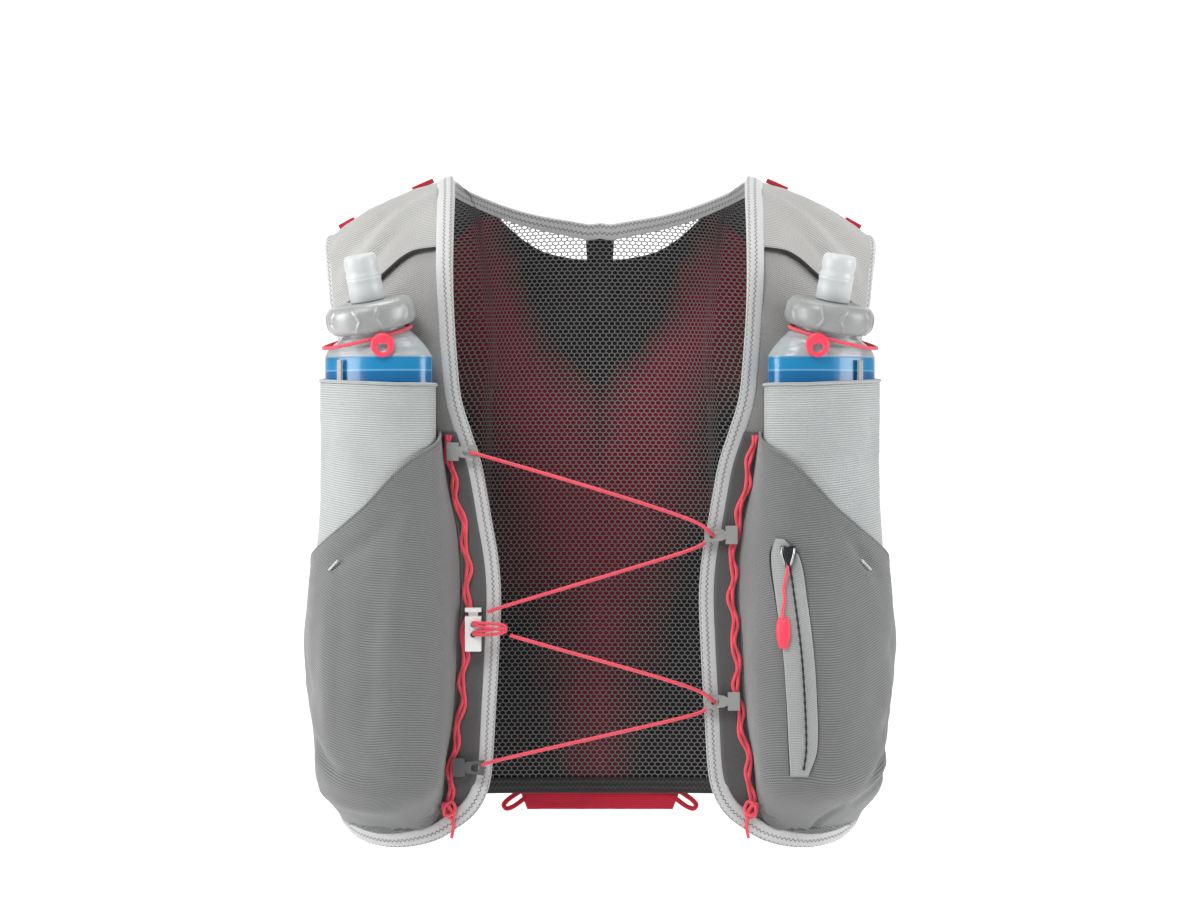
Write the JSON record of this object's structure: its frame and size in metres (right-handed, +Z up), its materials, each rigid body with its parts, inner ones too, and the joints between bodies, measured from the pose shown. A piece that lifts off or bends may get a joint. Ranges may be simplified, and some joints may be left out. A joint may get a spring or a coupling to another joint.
{
  "type": "running hydration vest",
  "caption": "Worn running vest of stretch cloth and net with two soft flasks in front pockets, laced elastic chest cord, cord lock, side zip pocket and back pack",
  "frame": {"origin": "midway between the two shoulder tops, where the vest rests on its wearer", "axes": "+Z up, the front of the vest faces -Y, the wearer's left side is +X"},
  "size_m": [0.368, 0.2874, 0.4177],
  "materials": {
    "grey_cloth": "ribbed knit, matt",
    "pale_cloth": "fine ribbed stretch knit, matt",
    "dark_cloth": "fine twill knit, matt",
    "binding_cloth": "stretch tape with zigzag stitches",
    "net_cloth": "open hexagonal net over a dark lining",
    "red_cloth": "webbing and stretch panel, matt",
    "pink_cord": "braided elastic cord",
    "grey_plastic": "moulded, satin",
    "clear_plastic": "clear moulded, satin",
    "white_plastic": "moulded, smooth",
    "blue_film": "soft translucent film",
    "pale_silicone": "translucent, soft satin",
    "zip_tape_cloth": "coated woven tape",
    "black_metal": "glossy black"
  },
  "bodies": {
    "vest": {"back_net": "net_cloth", "back_strap": "dark_cloth", "back_pack": "grey_cloth", "back_bottom_panel": "red_cloth", "back_hem_binding": "binding_cloth", "neck_binding": "binding_cloth", "bottom_loop_left": "red_cloth", "bottom_loop_right": "red_cloth", "side_panel_left": "net_cloth", "side_panel_right": "net_cloth", "front_panel_left": "grey_cloth", "front_panel_right": "grey_cloth", "front_binding_left": "binding_cloth", "front_binding_right": "binding_cloth", "armhole_binding_left": "binding_cloth", "armhole_binding_right": "binding_cloth", "front_strip_left": "dark_cloth", "front_strip_right": "dark_cloth", "shoulder_strap_left": "grey_cloth", "shoulder_strap_right": "grey_cloth", "shoulder_tab_inner_left": "red_cloth", "shoulder_tab_inner_right": "red_cloth", "shoulder_tab_outer_left": "red_cloth", "shoulder_tab_outer_right": "red_cloth", "flask_pocket_left": "pale_cloth", "flask_pocket_right": "pale_cloth", "outer_pocket_left": "dark_cloth", "outer_pocket_right": "dark_cloth", "pocket_loop_left": "binding_cloth", "pocket_loop_right": "binding_cloth", "cord_loop_left": "pink_cord", "cord_loop_right": "pink_cord", "rail_cord_left": "pink_cord", "rail_cord_right": "pink_cord", "rail_knot_left": "pink_cord", "rail_knot_right": "pink_cord", "flask_body_left": "blue_film", "flask_body_right": "blue_film", "retention_cord_left": "pink_cord", "retention_cord_right": "pink_cord", "pull_tab_left": "pink_cord", "pull_tab_right": "pink_cord", "hook_upper_right": "grey_plastic", "hook_upper_left": "grey_plastic", "hook_lower_left": "grey_plastic", "hook_lower_right": "grey_plastic", "cord_lock": "white_plastic", "lock_cord_upper": "pink_cord", "lock_cord_lower": "pink_cord", "chest_cord_upper": "pink_cord", "chest_cord_lower": "pink_cord", "zip_tape": "zip_tape_cloth", "zip_slider": "black_metal", "zip_pull_cord": "pink_cord", "zip_pull_end": "pink_cord"},
    "cap_left": {"flask_cap_left": "clear_plastic", "bite_valve_left": "pale_silicone"},
    "cap_right": {"flask_cap_right": "clear_plastic", "bite_valve_right": "pale_silicone"},
    "lock_button": {"cord_lock_button": "white_plastic"}
  },
  "joints": [
    {"name": "cap_left_turn", "type": "hinge", "parent": "vest", "child": "cap_left", "pos_m": [0.13784, -0.11183, -0.08727], "axis": [0.172, -0.1371, 0.9755], "continuous": true},
    {"name": "cap_right_turn", "type": "hinge", "parent": "vest", "child": "cap_right", "pos_m": [-0.13784, -0.11183, -0.08727], "axis": [-0.172, -0.1371, 0.9755], "continuous": true},
    {"name": "lock_press", "type": "slide", "parent": "vest", "child": "lock_button", "axis": [0, 0, -1], "range_m": [0, 0.0022]}
  ]
}
